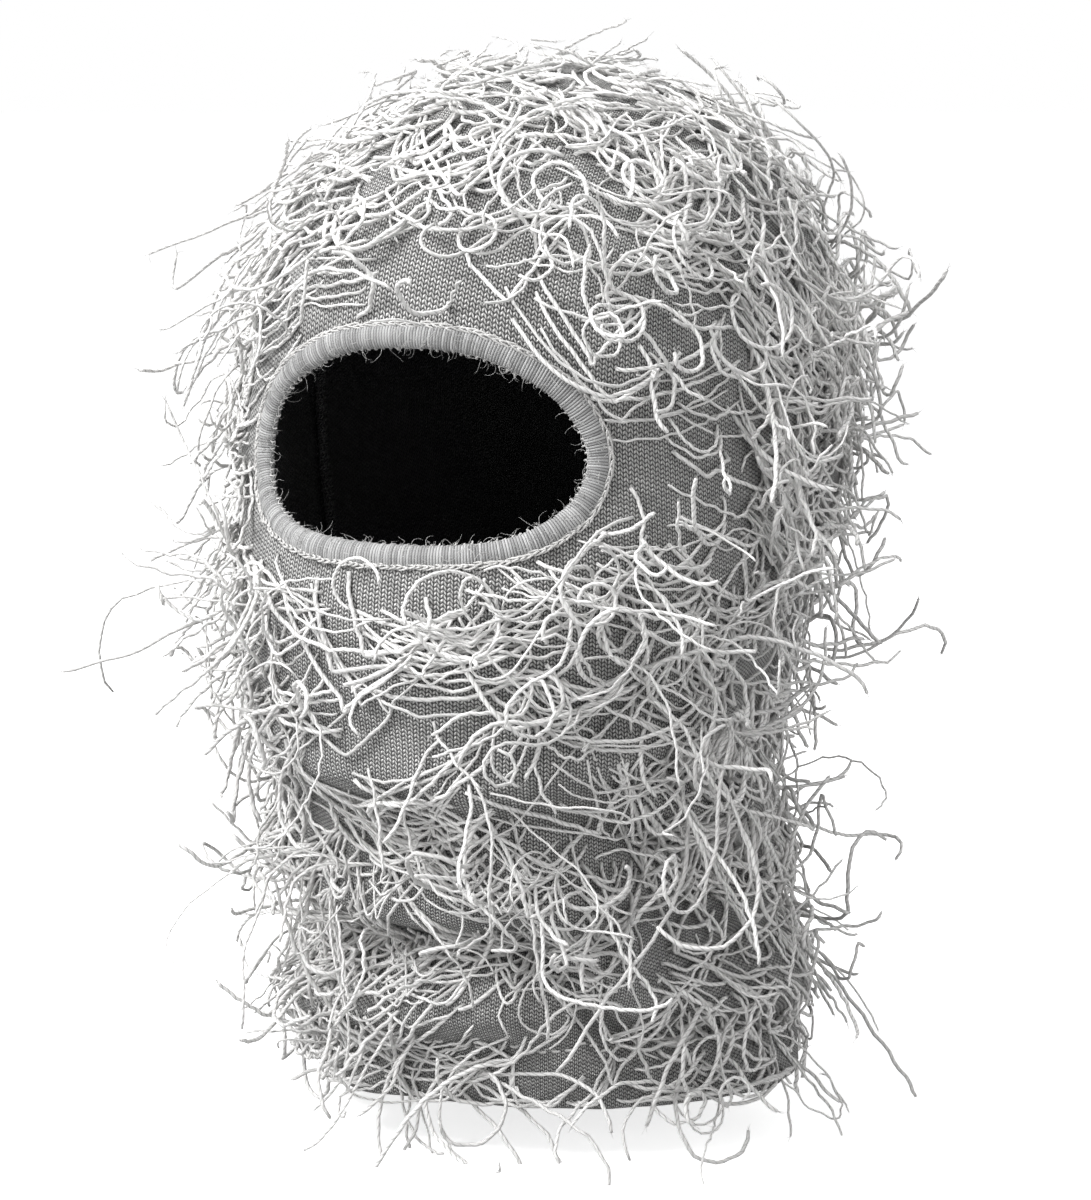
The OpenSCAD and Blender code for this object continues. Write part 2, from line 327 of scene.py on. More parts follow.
def yarn_paint(name, light, dark, ply_groove_shade):
    """Two-ply yarn: UV runs in metres along it, and once round it plus its number."""
    p = Paint(name)
    along, around = p.uv("Strand")
    number = around.whole()
    turn = (around * 2.0 - along / PLY) * TURN
    ply = turn.sine() * 0.5 + 0.5
    own = p.chance(number)
    fibre = p.noise(p.vector(along * 260.0, around * 5.0, number), 1.0, detail=3.0)
    slow = p.noise(p.vector(along * 60.0, number), 1.0)
    tone = (own * 0.6 + fibre * 0.4 + slow * 0.4 - 0.15).held()
    # Where the plies meet, the colour goes to the groove colour: painted shade in the groove
    # between the two plies.
    colour = p.mix(ply.step(0.0, 0.3), ply_groove_shade, p.mix(tone, dark, light))
    return p.surface(
        colour, ply * 0.6 + fibre * 0.7, 0.14 * MM,
        Roughness=0.85, Sheen_Weight=0.5, Sheen_Roughness=0.4, Specular_IOR_Level=0.25,
    )


def thread_paint(name, light, dark):
    """Sewing thread, smoother than the yarn."""
    p = Paint(name)
    along, around = p.uv("Strand")
    turn = ((around * 2.0 - along / (0.9 * MM)) * TURN).sine() * 0.5 + 0.5
    fibre = p.noise(p.vector(along * 900.0, around * 6.0), 1.0, detail=2.0)
    slow = p.noise(p.vector(along * 90.0, around), 1.0)
    # The twist's turns raise the colour where the relief is high: painted shade in the twist's
    # grooves, besides the fibres' random tone.
    tone = (turn * 0.3 + fibre * 0.35 + slow * 0.5 - 0.1).held()
    return p.surface(
        p.mix(tone, dark, light), turn + fibre, 0.06 * MM,
        Roughness=0.7, Sheen_Weight=0.2, Specular_IOR_Level=0.35,
    )


def wrap_paint(name, light, dark):
    """The binding's wrapped threads: UV runs along the edge, one thread to each unit."""
    p = Paint(name)
    along, around = p.uv("Strand")
    own = p.chance(along.whole())
    twist = ((around * 26.0 - along) * TURN).sine() * 0.5 + 0.5
    fibre = p.noise(p.vector(along * 3.0, around * 30.0), 1.0, detail=3.0)
    between = abs(along.part() - 0.5).step(0.3, 0.48)
    # The twist lightens the raised parts of each thread, and between threads the colour goes
    # near-black: painted shade in the grooves and the gaps, on top of the threads' random tone.
    tone = (own * 0.45 + fibre * 0.4 + twist * 0.15).held()
    colour = p.mix(between * 0.9, p.mix(tone, dark, light), grey(0.04))
    return p.surface(
        colour, twist * 0.3 + fibre * 0.5, 0.08 * MM,
        Roughness=0.75, Sheen_Weight=0.2, Specular_IOR_Level=0.3,
    )


# ---------------------------------------------------------------- mesh making


def piece(name, points, quads, material, uv_name=None, uv=None):
    """A mesh of four-sided faces. uv holds one pair for each corner of each face."""
    mesh = bpy.data.meshes.new(name)
    count = len(quads)
    mesh.vertices.add(len(points))
    mesh.vertices.foreach_set("co", np.asarray(points, np.float32).ravel())
    mesh.loops.add(count * 4)
    mesh.loops.foreach_set("vertex_index", np.asarray(quads, np.int32).ravel())
    mesh.polygons.add(count)
    mesh.polygons.foreach_set("loop_start", np.arange(0, count * 4, 4, dtype=np.int32))
    mesh.polygons.foreach_set("use_smooth", np.ones(count, dtype=bool))
    if uv is not None:
        layer = mesh.uv_layers.new(name=uv_name)
        layer.data.foreach_set("uv", np.asarray(uv, np.float32).ravel())
    mesh.update(calc_edges=True)
    mesh.validate()
    mesh.materials.append(material)
    ob = bpy.data.objects.new(name, mesh)
    bpy.context.collection.objects.link(ob)
    return ob


def unit(vectors):
    """The same ways, one unit long."""
    return vectors / np.maximum(np.linalg.norm(vectors, axis=-1, keepdims=True), 1e-12)


def rings(stations, sides, closed=True):
    """Four-sided faces between neighbouring rings of points."""
    grid = np.arange(stations * sides).reshape(stations, sides)
    along = np.roll(grid, -1, axis=0)
    quads = np.stack([grid, np.roll(grid, -1, axis=1), np.roll(along, -1, axis=1), along], -1)
    return (quads if closed else quads[:-1]).reshape(-1, 4)


def corners(low, high, left, right):
    """UV for the four corners of faces that run from low to high and left to right."""
    pairs = ((low, left), (low, right), (high, right), (high, left))
    return np.stack([np.stack(pair, -1) for pair in pairs], -2).reshape(-1, 4, 2)


def spread_at(points, gone, field):
    """A line's field at other distances along it."""
    return np.stack([np.interp(points, gone, field[:, i]) for i in range(3)], -1)


UV_EDGE = 0.02       # keeps one strand's UV off the next strand's number


def tubes(paths, radii, sides=6, first_number=0, closed=False):
    """Round tubes along many paths at once: points, four-sided faces and their UV.

    paths is (strands, points, 3) and radii is (strands, points)."""
    strands, steps, _ = paths.shape
    ahead = np.roll(paths, -1, axis=1) - np.roll(paths, 1, axis=1)
    if not closed:
        ahead[:, 0] = paths[:, 1] - paths[:, 0]
        ahead[:, -1] = paths[:, -1] - paths[:, -2]
    ahead = unit(ahead)
    side = np.cross(ahead[:, 0], np.array([0.31, 0.17, 0.93]))
    side = unit(side)
    sides_at = np.empty_like(paths)
    for k in range(steps):
        side = unit(side - ahead[:, k] * np.sum(side * ahead[:, k], axis=1, keepdims=True))
        sides_at[:, k] = side
    up = np.cross(ahead, sides_at)
    turn = np.arange(sides) * TURN / sides
    ring = (
        sides_at[:, :, None] * np.cos(turn)[:, None] + up[:, :, None] * np.sin(turn)[:, None]
    )
    points = paths[:, :, None] + ring * radii[:, :, None, None]
    spans = steps if closed else steps - 1
    s, k, i = np.meshgrid(
        np.arange(strands), np.arange(spans), np.arange(sides), indexing="ij"
    )
    base = s * steps * sides
    here, there = base + k * sides, base + ((k + 1) % steps) * sides
    nxt = (i + 1) % sides
    quads = np.stack([here + i, here + nxt, there + nxt, there + i], -1).reshape(-1, 4)
    gone = np.linalg.norm(np.roll(paths, -1, axis=1) - paths, axis=2)
    length = np.concatenate([np.zeros((strands, 1)), np.cumsum(gone, axis=1)], axis=1)
    low, high = length[s, k], length[s, k + 1]
    number = first_number + s
    left = number + UV_EDGE + (1 - 2 * UV_EDGE) * i / sides
    right = number + UV_EDGE + (1 - 2 * UV_EDGE) * (i + 1) / sides
    uv = corners(low, high, left, right)
    if not closed:
        flat = np.arange(strands) * steps * sides
        halves = {4: (0,), 6: (0, 3)}[sides]  # where each cap's four-sided parts start
        for start, order in ((0, (0, 3, 2, 1)), ((steps - 1) * sides, (0, 1, 2, 3))):
            for lift in halves:
                cap = np.stack([flat + start + (o + lift) % sides for o in order], -1)
                quads = np.concatenate([quads, cap])
                spot = np.stack([np.zeros(strands), first_number + np.arange(strands) + 0.5], -1)
                uv = np.concatenate([uv, np.repeat(spot[:, None], 4, axis=1)])
    return points.reshape(-1, 3), quads, uv


def band(name, line, across, out, wide, tall, sides, material, closed=True):
    """A flat oval band of knit along a line. wide and tall are half its size."""
    turn = np.arange(sides) * TURN / sides
    ring = (
        line[:, None] + across[:, None] * (wide * np.cos(turn))[:, None]
        + out[:, None] * (tall * np.sin(turn))[:, None]
    )
    quads = rings(len(line), sides, closed)
    uv = np.stack([quads // sides * MM, quads % sides * MM], -1)
    return piece(name, ring.reshape(-1, 3), quads, material, "Cloth", uv)


def cords(name, paths, radii, sides, material, closed=False):
    """A piece made of tubes along paths."""
    radii = np.broadcast_to(radii, paths.shape[:2])
    points, quads, uv = tubes(paths, radii, sides, closed=closed)
    return piece(name, points, quads, material, "Strand", uv)


def turned(angle, start):
    """How far round an angle lies from start, -180 to 180 degrees."""
    return (angle - start + 180) % 360 - 180


def lengths(line):
    """How far along a line each of its points lies."""
    return np.concatenate([[0], np.cumsum(np.linalg.norm(np.diff(line, axis=0), axis=1))])


# ---------------------------------------------------------------- the hood's form


def blurred(field, rows, columns):
    """A soft blur of a (row, column) field that closes on itself along its columns."""

    def kernel(width):
        reach = int(3 * width) + 1
        weights = np.exp(-0.5 * (np.arange(-reach, reach + 1) / width) ** 2)
        return reach, weights / weights.sum()

    reach, weights = kernel(columns)
    out = sum(w * np.roll(field, k - reach, axis=1) for k, w in enumerate(weights))
    reach, weights = kernel(rows)
    padded = np.pad(out, ((reach, reach), (0, 0)), mode="reflect", reflect_type="odd")
    return sum(w * padded[k:k + len(field)] for k, w in enumerate(weights))


class Form:
    """The hood's outside, as reach along rays from inside it, read from the CAD panels.

    Rows run from the crown to the hem and columns round from the face to the wearer's
    left. Above the eye line the rays fan out from one point, and below it they are level."""

    TOP = 100            # rows from the crown to the eye line
    LOW = 144            # rows from there to the hem
    HEM = TOP + LOW
    COLUMNS = 400

    def __init__(self):
        points, faces = [], []
        for name in PANELS:
            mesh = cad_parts[name].data
            start = len(points)
            points += [v.co.copy() for v in mesh.vertices]
            faces += [[start + i for i in f.vertices] for f in mesh.polygons]
        tree = BVHTree.FromPolygons(points, faces)
        self.level = EYE_Z
        self.drop = (EYE_Z - HEM_Z) / self.LOW
        rows = np.arange(self.HEM + 1)
        columns = np.arange(self.COLUMNS)
        self.start, self.way = self.rays(rows[:, None] + 0 * columns, columns + 0 * rows[:, None])
        reach = np.full(self.start.shape[:2], np.nan)
        far = 0.3
        for r in rows:
            for c in columns:
                o, d = self.start[r, c], self.way[r, c]
                hit = tree.ray_cast(Vector(o + d * far), Vector(-d), far)
                if hit[0] is not None:
                    reach[r, c] = far - hit[3]
        reach[-1] = reach[-3]
        reach[-2] = reach[-3]
        gap = np.isnan(reach)
        for r in rows:
            row = reach[r]
            if gap[r].any():
                have = np.flatnonzero(~gap[r])
                row[:] = np.interp(
                    columns, np.concatenate([have - self.COLUMNS, have, have + self.COLUMNS]),
                    np.tile(row[have], 3),
                )
        for _ in range(60):
            reach = np.where(gap, blurred(reach, 3, 3), reach)
        reach = blurred(reach, 3.2, 3.6)
        near = np.minimum(rows / 8, 1)[:, None]
        self.reach = reach * near + reach[0].mean() * (1 - near)
        self.update()

    def rays(self, row, column):
        """Where a ray starts and the way it runs, for any rows and columns."""
        angle = column * TURN / self.COLUMNS
        tilt = np.minimum(row / self.TOP, 1) * (math.pi / 2)
        z = self.level - np.maximum(row - self.TOP, 0) * self.drop
        start = np.stack([0 * z, 0 * z, z], -1)
        way = np.stack(
            [np.sin(tilt) * np.sin(angle), -np.sin(tilt) * np.cos(angle), np.cos(tilt)], -1
        )
        return start, way

    def update(self):
        """Places and normals of the grid, from the reach."""
        self.points = self.start + self.way * self.reach[..., None]
        across = np.roll(self.points, -1, axis=1) - np.roll(self.points, 1, axis=1)
        down = np.gradient(self.points, axis=0)
        self.normals = unit(np.cross(down, across))
        outward = np.sum(self.normals * self.way, axis=-1, keepdims=True)
        self.normals = np.where(outward < 0, -self.normals, self.normals)
        self.normals[0] = (0, 0, 1)

    def raise_by(self, field):
        self.reach = self.reach + field
        self.update()

    def sample(self, field, row, column):
        """A field's value between the rows and columns."""
        row = np.clip(row, 0, self.HEM - 1e-6)
        r, c = np.floor(row).astype(int), np.floor(column).astype(int)
        fr, fc = row - r, column - c
        c0, c1 = c % self.COLUMNS, (c + 1) % self.COLUMNS
        if field.ndim == 3:
            fr, fc = fr[..., None], fc[..., None]
        top = field[r, c0] * (1 - fc) + field[r, c1] * fc
        low = field[r + 1, c0] * (1 - fc) + field[r + 1, c1] * fc
        return top * (1 - fr) + low * fr

    def place(self, row, column):
        """Places on the hood at rows and columns."""
        return self.sample(self.points, row, column)

    def normal(self, row, column):
        """The ways straight off the hood at rows and columns."""
        return unit(self.sample(self.normals, row, column))

    def find(self, places):
        """The row, the column and the height off the hood of places near it."""
        z = places[..., 2]
        above = z > self.level
        x, y = places[..., 0], places[..., 1]
        flat = np.hypot(x, y)
        up = np.where(above, z - self.level, 0)
        far = np.hypot(flat, up)
        tilt = np.arctan2(flat, up)
        low = (self.level - z) / self.drop
        row = np.where(above, tilt / (math.pi / 2) * self.TOP, self.TOP + low)
        column = (np.arctan2(x, -y) / TURN * self.COLUMNS) % self.COLUMNS
        return row, column, far - self.sample(self.reach, row, column)


form = Form()

# Soft folds of the neck: angle of the middle, height there, slope and bend
# of its line, half its spread in degrees, height of the fold, and its width above and
# below the line. Millimetres and degrees.
FOLDS = (
    (-6, -229, -0.06, 0.004, 44, 14.0, 16, 4.5),
    (22, -222, -1.6, 0.0, 17, 13.0, 24, 11.0),
    (56, -201, -0.25, 0.0, 24, 12.0, 13, 5.0),
    (92, -226, 0.2, 0.0, 40, 8.0, 11, 6.0),
    (-62, -220, 0.12, 0.0, 30, 9.0, 13, 5.5),
    (-120, -212, -0.12, 0.0, 40, 7.5, 12, 6.5),
    (165, -216, 0.1, 0.0, 45, 8.0, 12, 6.5),
    (-24, -260, 0.1, 0.0, 44, 9.0, 11, 6.0),
    (62, -255, -0.15, 0.0, 36, 8.0, 12, 6.0),
    (-140, -246, 0.15, 0.0, 50, 7.0, 11, 7.0),
    (160, -258, -0.1, 0.0, 50, 6.0, 9, 6.0),
    (2, -188, -0.1, 0.0, 36, 5.5, 9, 5.0),
    (40, -178, 0.3, 0.0, 22, 6.0, 9, 5.0),
)


def folds():
    """How far the knit's folds and slack stand off the smooth form, in metres."""
    rng = np.random.default_rng(SEED)
    z = form.points[..., 2] / MM
    column = np.arange(form.COLUMNS)[None, :] * 360 / form.COLUMNS + 0 * z
    out = np.zeros_like(z)
    for angle, level, slope, bend, spread, height, above, below in FOLDS:
        off = turned(column, angle)
        line = level + slope * off + bend * off ** 2
        up = z - line
        width = np.where(up > 0, above, below)
        body = np.exp(-((up / width) ** 2))
        trough = 0.45 * np.exp(-(((up + 1.9 * below) / (0.9 * below)) ** 2))
        out += height * (body - trough) * np.exp(-((off / spread) ** 4))
    slack = blurred(rng.normal(size=z.shape), 7, 9)
    slack /= slack.std()
    ripple = blurred(rng.normal(size=z.shape), 3, 4)
    ripple /= ripple.std()
    loose = 0.35 + 0.65 / (1 + np.exp((z + 190) / 10))
    out += loose * (1.1 * slack + 0.35 * ripple)
    seam = np.exp(-(((column % 180 - 90) / 0.9) ** 2))
    away = np.minimum(np.arange(len(z)) / 14, 1)[:, None]
    return (blurred(out, 1.2, 1.5) - 0.7 * seam) * away * MM


relief = folds()
form.raise_by(relief)

# ---------------------------------------------------------------- eye opening


class Opening:
    """The line of the eye binding, read from its CAD ring."""

    STEPS = 720

    def __init__(self):
        ring = np.array([v.co[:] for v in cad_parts["eye_edge_roll"].data.vertices])
        centre = (ring.min(axis=0) + ring.max(axis=0)) / 2
        flat = ring - centre
        size = ring.max(axis=0) - ring.min(axis=0)
        angle = np.arctan2(flat[:, 2] / size[2], flat[:, 0] / size[0]) % TURN
        steps = 72
        nearest = np.round(angle / TURN * steps).astype(int) % steps
        path = []
        for k in range(steps):
            bunch = ring[nearest == k]
            path.append(bunch.mean(axis=0) if len(bunch) else None)
        have = [k for k in range(steps) if path[k] is not None]
        full = np.stack([
            np.interp(
                np.arange(self.STEPS) * steps / self.STEPS,
                have + [have[0] + steps], [path[k][i] for k in have] + [path[have[0]][i]],
            )
            for i in range(3)
        ], -1)
        path = self.even(self.smooth(self.even(full), 14))
        self.path = path
        self.centre = path.mean(axis=0)
        row, column, _ = form.find(path)
        self.out = unit(self.smooth(form.sample(form.normals, row, column), 16))
        along = unit(np.roll(path, -1, axis=0) - np.roll(path, 1, axis=0))
        away = np.cross(along, self.out)
        if np.sum(away * (path - self.centre)) < 0:
            away = -away
        self.away = unit(away)
        self.along = along
        step = np.linalg.norm(np.roll(path, -1, axis=0) - path, axis=1)
        self.length = float(step.sum())

    def smooth(self, path, width):
        weights = np.exp(-0.5 * (np.arange(-3 * width, 3 * width + 1) / width) ** 2)
        weights /= weights.sum()
        return sum(w * np.roll(path, k - 3 * width, axis=0) for k, w in enumerate(weights))

    def even(self, path):
        """The same closed line with its points at even distances."""
        loop = np.concatenate([path, path[:1]])
        gone = lengths(loop)
        return spread_at(np.linspace(0, gone[-1], self.STEPS, endpoint=False), gone, loop)

    def frame_at(self, share):
        """Place, way along, way out of the opening and way off the cloth, at shares 0-1."""
        at = np.asarray(share) % 1 * self.STEPS
        low = np.floor(at).astype(int)
        part = (at - low)[..., None]

        def take(field):
            return field[low % self.STEPS] * (1 - part) + field[(low + 1) % self.STEPS] * part

        return take(self.path), take(self.along), take(self.away), take(self.out)

    def reach_out(self, places):
        """How far places lie outside the binding's middle line, in metres."""
        tree = KDTree(self.STEPS)
        for k, p in enumerate(self.path):
            tree.insert(p, k)
        tree.balance()
        out = np.empty(len(places))
        for n, p in enumerate(places):
            _, k, _ = tree.find(p)
            out[n] = np.dot(p - self.path[k], self.away[k])
        return out


opening = Opening()
BIND_W = 6.4 * MM    # width of the binding's roll
BIND_T = 4.3 * MM    # its thickness

# ---------------------------------------------------------------- knit panels

KNIT_T = 1.7 * MM    # from the knit's face to its reverse
HEM_ROLL = 1.9 * MM  # radius of the fold at the hem
GORES = 2            # how many upright strips the cloth's UV is laid in
PITCH = 1.5 * MM     # width of the cloth for one column of the form's grid


def cloth_uv(row, column):
    """UV in metres for face corners: columns of stitches run straight up each gore."""
    per = form.COLUMNS / GORES
    middle = column.mean(axis=1, keepdims=True)
    gore = np.round(middle / per)
    around = np.linalg.norm(form.points[:, 0] - form.points[:, form.COLUMNS // 2], axis=1)
    share = np.where(np.arange(len(around)) < form.TOP, around / around[form.TOP], 1.0)
    slope = np.diff(form.points, axis=0)[:, ::10]
    down = np.concatenate([[0], np.cumsum(np.linalg.norm(slope, axis=-1).mean(axis=1))])
    rows = np.arange(len(down))
    across = (column - gore * per) * np.interp(row, rows, share) + gore * per
    return np.stack([across * PITCH, np.interp(row, rows, -down)], -1)


def panel(name, first, last, material, inside):
    """One closed knit panel: face and reverse, rolled at the hem, cut away at the eyes."""
    columns = np.arange(first, last + 1)
    wide, deep = len(columns), form.HEM + 1
    outer = form.points[:, columns % form.COLUMNS]
    normal = form.normals[:, columns % form.COLUMNS]
    flat = unit(normal[-1] * np.array([1, 1, 0]))
    roll = []
    for turn in np.radians([36, 72, 108, 144, 180]):
        lean = -flat * (1 - math.cos(turn)) * HEM_ROLL
        roll.append(outer[-1] + lean + np.array([0, 0, -math.sin(turn) * HEM_ROLL]))
    inner = outer - normal * KNIT_T
    inner[-1] = outer[-1] - flat * 1.7 * HEM_ROLL + np.array([0, 0, 2 * MM])
    inner[-2] = inner[-1] + np.array([0, 0, 0.7 * form.drop])
    points = np.concatenate([outer, np.array(roll), inner])
    grid = np.arange(len(points) * wide).reshape(-1, wide)
    face, reverse = grid[:deep], grid[deep + 5:]
    bend = np.concatenate([face[-1:], grid[deep:deep + 5], reverse[-1:]])
    hole = np.zeros((deep, wide), bool)
    margin = 8 * MM
    near = (outer[..., 1] < 0) & (abs(outer[..., 0]) < BIND_HIGH[0] + margin)
    near &= (outer[..., 2] > BIND_LOW[2] - margin) & (outer[..., 2] < BIND_HIGH[2] + margin)
    hole[near] = opening.reach_out(outer[near]) < 0.4 * MM

    def squares(rows):
        """Faces between neighbouring rows of points."""
        return np.stack([rows[:-1, :-1], rows[1:, :-1], rows[1:, 1:], rows[:-1, 1:]], -1)

    cut = squares(np.arange(deep * wide).reshape(deep, wide))
    keep = ~hole.ravel()[cut].any(axis=-1)
    front, behind = squares(face)[keep], squares(reverse)[keep][:, ::-1]
    edge = np.stack([front, np.roll(front, -1, axis=1)], -1).reshape(-1, 2)
    code = edge[:, 0] * len(points) * wide + edge[:, 1]
    other = edge[:, 1] * len(points) * wide + edge[:, 0]
    rim = edge[~np.isin(code, other)]
    rim = rim[~(rim >= (deep - 1) * wide).all(axis=1)]
    rim = rim[~(rim < wide).all(axis=1)]
    shift = reverse[0, 0]
    wall = np.stack([rim[:, 1], rim[:, 0], rim[:, 0] + shift, rim[:, 1] + shift], -1)
    caps = [[bend[i, c], bend[i + 1, c], bend[-2 - i, c], bend[-1 - i, c]]
            for c in (0, -1) for i in range(len(bend) // 2)]
    faces = np.concatenate([front, squares(bend).reshape(-1, 4), wall, np.array(caps), behind])
    corner_row = np.concatenate([
        np.arange(deep), deep + np.arange(5), np.arange(deep)
    ])[faces // wide].astype(float)
    corner_column = columns[faces % wide].astype(float)
    uv = cloth_uv(np.minimum(corner_row, deep - 1), corner_column)
    uv[..., 1] -= np.maximum(corner_row - deep + 1, 0) * 1.2 * MM
    ob = piece(name, points.reshape(-1, 3), faces, material, "Cloth", uv)
    # The reverse faces get inside, a near-black knit that is painted shade for the hood's dark
    # inside, not the knit's own colour.
    ob.data.materials.append(inside)
    reverse_faces = np.arange(len(faces)) >= len(faces) - len(behind)
    ob.data.polygons.foreach_set("material_index", reverse_faces.astype(np.int32))
    mesh = bmesh.new()
    mesh.from_mesh(ob.data)
    bmesh.ops.remove_doubles(mesh, verts=mesh.verts, dist=0.002 * MM)
    mesh.to_mesh(ob.data)
    mesh.free()
    return ob


def hem_ply(material):
    """The inner ply of the turned-up hem."""
    columns = np.arange(form.COLUMNS)
    flat = unit(form.normals[-1] * np.array([1, 1, 0]))
    levels = np.arange(1, 21) * MM
    inner, outer = [], []
    for up in levels:
        row = form.HEM - up / form.drop
        skin = form.place(np.full(form.COLUMNS, row), columns.astype(float))
        skin = skin - flat * (2 * HEM_ROLL - 0.1 * MM)
        outer.append(skin)
        inner.append(skin - flat * 1.4 * MM)
    ring = np.array(outer + inner[::-1])
    deep = len(ring)
    quads = rings(deep, form.COLUMNS)
    row, column = np.divmod(quads, form.COLUMNS)
    wrap = (column == 0) & (column.max(axis=1, keepdims=True) > 1)
    column = np.where(wrap, form.COLUMNS, column)
    row = np.where((row == 0) & (row.max(axis=1, keepdims=True) > 1), deep, row)
    uv = np.stack([column * PITCH, row * MM], -1)
    return piece("hem_turnup_cloth", ring.reshape(-1, 3), quads, material, "Cloth", uv)


# ---------------------------------------------------------------- eye binding

WRAP = 0.8 * MM      # width of one wrapped thread


def binding(material):
    """Satin-wrapped roll round the opening: one ridge for every wrapped thread."""
    rng = np.random.default_rng(SEED + 1)
    threads = int(opening.length / WRAP)
    per, sides = 4, 22
    stations = threads * per
    share = np.arange(stations) / stations
    place, _, away, out = opening.frame_at(share)
    thread = np.arange(stations) // per
    phase = (np.arange(stations) % per) / per
    swell = 1 + 0.03 * rng.normal(size=threads)[thread]
    slow = sum(
        rng.normal() * np.cos(TURN * share * k + rng.uniform(0, TURN)) for k in range(2, 9)
    )
    ridge = 0.3 * MM * (np.abs(np.cos(math.pi * (phase + 0.5))) ** 0.7 - 0.6)
    turn = np.arange(sides) * TURN / sides
    wide = (BIND_W / 2 * (swell + 0.02 * slow))[:, None] * np.cos(turn)
    tall = (BIND_T / 2 * (swell + 0.02 * slow))[:, None] * np.sin(turn)
    wide = wide + ridge[:, None] * np.cos(turn)
    tall = tall + ridge[:, None] * np.sin(turn)
    ring = place[:, None] + away[:, None] * wide[..., None] + out[:, None] * tall[..., None]
    s, i = np.meshgrid(np.arange(stations), np.arange(sides), indexing="ij")
    uv = corners(s / per, (s + 1) / per, i / sides, (i + 1) / sides)
    quads = rings(stations, sides)
    return piece("eye_binding_thread", ring.reshape(-1, 3), quads, material, "Strand", uv)


def edge_roll(material):
    """The folded knit edge inside the binding."""
    stations = 360
    place, _, away, out = opening.frame_at(np.arange(stations) / stations)
    return band("eye_edge_knit", place, away, out, 2.6 * MM, 1.3 * MM, 12, material)


def chain_stitch(material):
    """A line of chain stitch along the binding's outer edge."""
    rng = np.random.default_rng(SEED + 2)
    outer_edge = opening.length * 1.12
    links = int(outer_edge / (1.95 * MM))
    steps = 14
    t = np.arange(steps) / steps * TURN
    share = np.arange(links) / links
    wander = 0.22 * MM * rng.normal(size=links)
    size = 1 + 0.12 * rng.normal(size=links)
    reach = 1.75 * MM * size[:, None] * np.cos(t) / outer_edge
    place, _, away, out = opening.frame_at(share[:, None] + reach)
    lean = 0.62 * MM * size[:, None] * np.sin(t) * (0.75 - 0.35 * np.cos(t))
    lean = lean + BIND_W / 2 - 0.15 * MM + wander[:, None]
    lift = 1.3 * MM + 0.4 * MM * np.cos(t) + 0 * lean
    paths = place + away * lean[..., None] + out * lift[..., None]
    return cords("eye_chain_stitches", paths, 0.3 * MM, 5, material, closed=True)


def inner_loops(material):
    """Small thread loops along the binding's inner edge."""
    rng = np.random.default_rng(SEED + 3)
    loops = int(opening.length / (2.3 * MM))
    steps = 12
    t = np.arange(loops * steps) / steps
    size = 1 + 0.35 * rng.normal(size=loops)[(np.arange(loops * steps) // steps)]
    share = (t + 0.55 * np.sin(t * TURN) * 0.5) / loops
    place, _, away, out = opening.frame_at(share)
    lean = -BIND_W / 2 + 0.35 * MM - (0.32 * MM) * size * (1 - np.cos(t * TURN))
    lift = -0.4 * MM + 0.5 * MM * np.sin(t * TURN + 0.6)
    path = (place + away * lean[:, None] + out * lift[:, None])[None]
    return cords("eye_loops", path, 0.2 * MM, 5, material, closed=True)


def eye_fuzz(material):
    """Stray fibres round the binding."""
    rng = np.random.default_rng(SEED + 4)
    count, steps = 700, 7
    place, along, away, out = opening.frame_at(rng.uniform(size=count))
    turn = rng.uniform(-0.3, 1.1, count) * math.pi
    foot = (
        place - away * (BIND_W / 2 * np.cos(turn))[:, None]
        + out * (BIND_T / 2 * np.sin(turn))[:, None]
    )
    ahead = (
        -away * np.cos(turn)[:, None] + out * np.sin(turn)[:, None]
        + along * rng.normal(size=count)[:, None] * 1.1 + 0.5 * rng.normal(size=(count, 3))
    )
    return hairs("eye_fuzz", rng, foot, unit(ahead), rng.uniform(1.5, 6, count) * MM,
                 0.07 * MM, steps, material)


def hairs(name, rng, foot, ahead, length, radius, steps, material):
    """Fine fibres that bend at random."""
    count = len(foot)
    bend = rng.normal(size=(count, 3))
    step = length / (steps - 1)
    paths = np.empty((count, steps, 3))
    spot, way = foot.copy(), ahead.copy()
    for k in range(steps):
        paths[:, k] = spot
        way = unit(way + 0.28 * np.cross(bend, way) + 0.1 * rng.normal(size=(count, 3)))
        spot = spot + way * step[:, None]
    return cords(name, paths, radius * np.linspace(1, 0.45, steps), 4, material)


# ---------------------------------------------------------------- seams and hem stitch


def seam_line(rows, column, inset):
    """A line down the inside of the knit, with its way across."""
    row = np.asarray(rows, float)
    col = np.full(len(row), float(column))
    skin = form.place(row, col)
    normal = form.normal(row, col)
    return skin - normal * inset, normal


def seam(name, runs, cloth, thread):
    """A seam allowance on the inside with overlock thread round it."""
    lines = [seam_line(rows, column, KNIT_T + 1.2 * MM) for rows, column in runs]
    line = np.concatenate([part[0] for part in lines])
    normal = np.concatenate([part[1] for part in lines])
    ahead = unit(np.gradient(line, axis=0))
    across = unit(np.cross(ahead, normal))
    ribbon = band(
        name + "_cloth", line, across, normal, 2.4 * MM, 1.1 * MM, 10, cloth, closed=False
    )
    gone = lengths(line)
    turns = np.arange(0, gone[-1], 0.45 * MM)
    angle = turns / (2.2 * MM) * TURN
    middle, beside, off = (spread_at(turns, gone, part) for part in (line, across, normal))
    path = (
        middle + beside * (2.65 * MM * np.cos(angle))[:, None]
        - off * (1.3 * MM * np.sin(angle))[:, None]
    )[None]
    return ribbon, cords(name + "_thread", path, 0.22 * MM, 6, thread)


